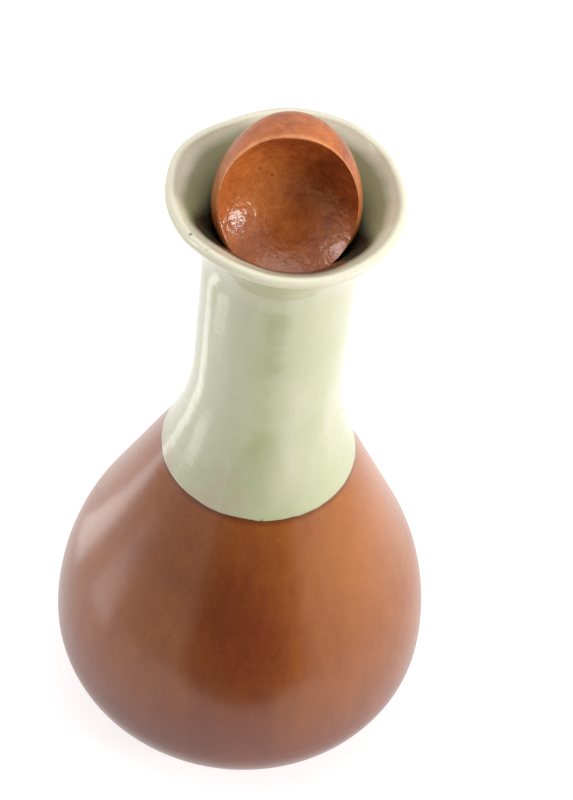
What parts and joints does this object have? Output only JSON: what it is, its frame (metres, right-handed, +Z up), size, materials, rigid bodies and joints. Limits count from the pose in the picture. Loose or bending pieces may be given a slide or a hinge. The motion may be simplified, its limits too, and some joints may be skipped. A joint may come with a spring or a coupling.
{
  "type": "stoppered sake bottle",
  "caption": "Thrown stoneware sake bottle with a round belly, slim trumpet neck, two-colour glaze and an egg-shaped stopper with a thumb dish that lifts out of the mouth.",
  "frame": {"origin": "middle of the foot ring's resting face", "axes": "+Z up along the bottle's axis, the stopper's thumb dish faces -Y and upwards"},
  "size_m": [0.0958, 0.0958, 0.2001],
  "materials": {
    "stoneware": "bare iron-bearing stoneware",
    "russet_glaze": "mottled russet iron glaze, satin to glossy",
    "celadon_glaze": "pale grey-green celadon, glossy, faintly crazed",
    "liner_glaze": "thin clear liner glaze, glossy",
    "stopper_stoneware": "bare iron-bearing stoneware",
    "stopper_russet": "glossy russet iron glaze with fine bumps",
    "cork": "fine-grained cork"
  },
  "bodies": {
    "bottle": {"body_shell": "stoneware", "neck_shell": "stoneware", "body_glaze": "russet_glaze", "neck_glaze": "celadon_glaze", "liner_glaze": "liner_glaze"},
    "stopper": {"stopper_body": "stopper_stoneware", "stopper_glaze": "stopper_russet", "cork_sleeve": "cork"}
  },
  "joints": [
    {"name": "stopper_lift", "type": "slide", "parent": "bottle", "child": "stopper", "axis": [0, 0, 1], "range_m": [0, 0.045]}
  ]
}
